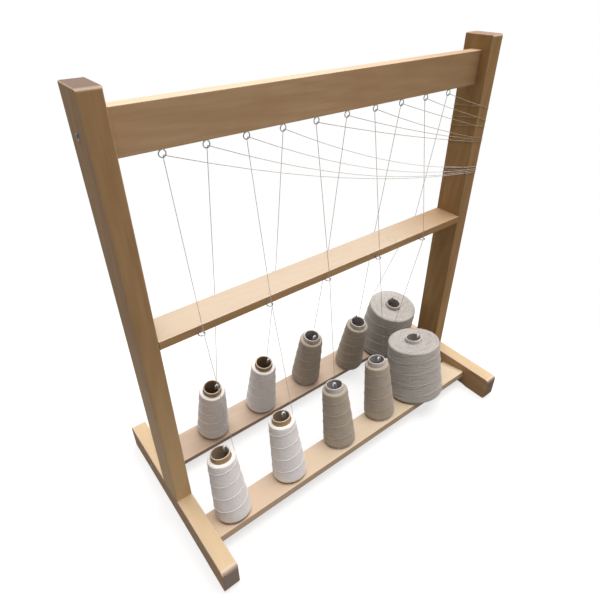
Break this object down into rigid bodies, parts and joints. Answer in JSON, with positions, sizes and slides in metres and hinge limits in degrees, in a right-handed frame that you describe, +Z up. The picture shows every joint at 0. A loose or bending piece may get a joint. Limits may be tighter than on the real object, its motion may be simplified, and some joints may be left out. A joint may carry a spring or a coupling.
{
  "type": "cone thread stand",
  "caption": "Wooden floor-standing cone thread stand: posts on feet, tilted shelves with wire pins that carry cones of thread, and boards with screw eyes that lead the threads.",
  "frame": {"origin": "on the floor, at the middle of the stand's outer box", "axes": "+X to the right along the boards, towards the large cones; +Y to the back; +Z up"},
  "size_m": [0.752, 0.39, 0.773],
  "materials": {
    "lacquered_birch": "clear satin lacquer",
    "dowel_beech": "bare",
    "zinc_steel": "zinc plated",
    "eye_steel": "drawn wire",
    "pin_steel": "drawn wire",
    "brown_cardboard": "matt",
    "grey_paperboard": "matt",
    "white_cotton": "wound yarn",
    "beige_linen": "wound yarn",
    "grey_linen": "wound yarn",
    "led_thread": "twisted thread"
  },
  "bodies": {
    "stand": {"left_post": "lacquered_birch", "right_post": "lacquered_birch", "left_foot": "lacquered_birch", "right_foot": "lacquered_birch", "top_board": "lacquered_birch", "middle_board": "lacquered_birch", "front_shelf": "lacquered_birch", "rear_shelf": "lacquered_birch", "frame_bolts": "zinc_steel", "post_bolts": "zinc_steel", "barrel_nuts": "zinc_steel", "dowels": "dowel_beech", "front_guide_eyes": "eye_steel", "rear_guide_eyes": "eye_steel", "top_eyes": "eye_steel", "front_pins": "pin_steel", "rear_pins": "pin_steel", "front_thread_1": "led_thread", "front_thread_2": "led_thread", "front_thread_3": "led_thread", "front_thread_4": "led_thread", "front_thread_5": "led_thread", "rear_thread_1": "led_thread", "rear_thread_2": "led_thread", "rear_thread_3": "led_thread", "rear_thread_4": "led_thread", "rear_thread_5": "led_thread", "led_threads": "led_thread"},
    "front_cone_1": {"front_tube_1": "brown_cardboard", "front_yarn_1": "white_cotton", "front_turns_1": "white_cotton"},
    "front_cone_2": {"front_tube_2": "brown_cardboard", "front_yarn_2": "white_cotton", "front_turns_2": "white_cotton"},
    "front_cone_3": {"front_tube_3": "grey_paperboard", "front_yarn_3": "beige_linen", "front_turns_3": "beige_linen"},
    "front_cone_4": {"front_tube_4": "grey_paperboard", "front_yarn_4": "beige_linen", "front_turns_4": "beige_linen"},
    "front_cone_5": {"front_tube_5": "grey_paperboard", "front_yarn_5": "grey_linen", "front_turns_5": "grey_linen"},
    "rear_cone_1": {"rear_tube_1": "brown_cardboard", "rear_yarn_1": "white_cotton", "rear_turns_1": "white_cotton"},
    "rear_cone_2": {"rear_tube_2": "brown_cardboard", "rear_yarn_2": "white_cotton", "rear_turns_2": "white_cotton"},
    "rear_cone_3": {"rear_tube_3": "grey_paperboard", "rear_yarn_3": "beige_linen", "rear_turns_3": "beige_linen"},
    "rear_cone_4": {"rear_tube_4": "grey_paperboard", "rear_yarn_4": "beige_linen", "rear_turns_4": "beige_linen"},
    "rear_cone_5": {"rear_tube_5": "grey_paperboard", "rear_yarn_5": "grey_linen", "rear_turns_5": "grey_linen"}
  },
  "joints": [
    {"name": "front_cone_1_lift", "type": "slide", "parent": "stand", "child": "front_cone_1", "axis": [0, 0.1736, 0.9848], "range_m": [0, 0.16], "deforming": ["front_thread_1"]},
    {"name": "front_cone_2_lift", "type": "slide", "parent": "stand", "child": "front_cone_2", "axis": [0, 0.1736, 0.9848], "range_m": [0, 0.16], "deforming": ["front_thread_2"]},
    {"name": "front_cone_3_lift", "type": "slide", "parent": "stand", "child": "front_cone_3", "axis": [0, 0.1736, 0.9848], "range_m": [0, 0.16], "deforming": ["front_thread_3"]},
    {"name": "front_cone_4_lift", "type": "slide", "parent": "stand", "child": "front_cone_4", "axis": [0, 0.1736, 0.9848], "range_m": [0, 0.16], "deforming": ["front_thread_4"]},
    {"name": "front_cone_5_lift", "type": "slide", "parent": "stand", "child": "front_cone_5", "axis": [0, 0, 1], "range_m": [0, 0.16], "deforming": ["front_thread_5"]},
    {"name": "rear_cone_1_lift", "type": "slide", "parent": "stand", "child": "rear_cone_1", "axis": [0, -0.1736, 0.9848], "range_m": [0, 0.16], "deforming": ["rear_thread_1"]},
    {"name": "rear_cone_2_lift", "type": "slide", "parent": "stand", "child": "rear_cone_2", "axis": [0, -0.1736, 0.9848], "range_m": [0, 0.16], "deforming": ["rear_thread_2"]},
    {"name": "rear_cone_3_lift", "type": "slide", "parent": "stand", "child": "rear_cone_3", "axis": [0, -0.1736, 0.9848], "range_m": [0, 0.16], "deforming": ["rear_thread_3"]},
    {"name": "rear_cone_4_lift", "type": "slide", "parent": "stand", "child": "rear_cone_4", "axis": [0, -0.1736, 0.9848], "range_m": [0, 0.16], "deforming": ["rear_thread_4"]},
    {"name": "rear_cone_5_lift", "type": "slide", "parent": "stand", "child": "rear_cone_5", "axis": [0, 0, 1], "range_m": [0, 0.16], "deforming": ["rear_thread_5"]}
  ]
}
